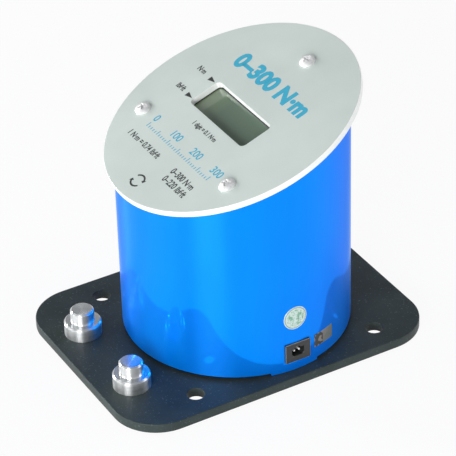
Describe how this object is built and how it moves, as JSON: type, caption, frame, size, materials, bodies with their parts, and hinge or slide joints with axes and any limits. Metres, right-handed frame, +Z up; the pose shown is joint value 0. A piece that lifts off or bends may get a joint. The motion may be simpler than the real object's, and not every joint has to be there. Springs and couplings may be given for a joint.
{
  "type": "torque tester",
  "caption": "Bench torque tester: round blue housing with a slanted display face that swivels on a flat base plate, over a torque cell with a square drive in the underside.",
  "frame": {"origin": "middle of the base plate's underside", "axes": "+Z up along the swivel axis, +Y along the plate's length away from the support studs, +X to the side that carries the inlet"},
  "size_m": [0.148, 0.2, 0.1681],
  "materials": {
    "plate_coating": "fine textured dark grey-green coating",
    "turned_steel": "turned bright",
    "zinc_steel": "zinc plated",
    "black_steel": "black oxide",
    "machined_aluminium": "machined",
    "bronze": "turned",
    "gauge_foil": "film",
    "red_wire": "insulated wire",
    "white_plastic": "slide plastic",
    "housing_enamel": "glossy blue enamel",
    "face_sheet": "satin silver-grey printed sheet",
    "bright_screw": "bright plated",
    "gasket_rubber": "matt",
    "display_glass": "liquid crystal behind gloss",
    "black_plastic": "moulded",
    "circuit_board": "solder mask",
    "chip_black": "moulded",
    "brass_spacer": "turned",
    "cream_plastic": "moulded",
    "ribbon_grey": "flat cable",
    "cell_wrap": "shrink film",
    "seal_label": "foil label",
    "tag_label": "foil label"
  },
  "bodies": {
    "base": {"base_plate": "plate_coating", "support_studs": "turned_steel", "stud_screws": "zinc_steel", "reaction_sleeve": "machined_aluminium", "sleeve_screws": "zinc_steel", "guide_bush": "bronze", "torsion_shaft": "turned_steel", "shaft_screws": "black_steel", "strain_gauges": "gauge_foil", "gauge_leads": "red_wire", "gauge_cable": "black_plastic", "lower_glide_ring": "white_plastic", "upper_glide_ring": "white_plastic", "retaining_ring": "machined_aluminium", "retaining_screws": "zinc_steel"},
    "head": {"housing_tube": "housing_enamel", "stop_pin": "turned_steel", "carrier_plate": "machined_aluminium", "face_plate": "face_sheet", "face_screws": "bright_screw", "window_gasket": "gasket_rubber", "display_glass": "display_glass", "display_frame": "black_plastic", "display_board": "circuit_board", "display_board_parts": "chip_black", "display_standoffs": "brass_spacer", "display_screws": "zinc_steel", "inner_shelf": "machined_aluminium", "shelf_screws": "zinc_steel", "measuring_board": "circuit_board", "measuring_board_parts": "chip_black", "board_spacers": "brass_spacer", "board_screws": "zinc_steel", "gauge_plug": "cream_plastic", "ribbon_cable": "ribbon_grey", "battery_cells": "cell_wrap", "battery_strap": "zinc_steel", "battery_screws": "zinc_steel", "inlet_body": "black_plastic", "inlet_pins": "bright_screw", "charging_wires": "red_wire", "seal_label": "seal_label", "tag_label": "tag_label"}
  },
  "joints": [
    {"name": "head_swivel", "type": "hinge", "parent": "base", "child": "head", "pos_m": [0, 0.0065, 0.0078], "axis": [0, 0, 1], "range_deg": [-175, 175]}
  ]
}
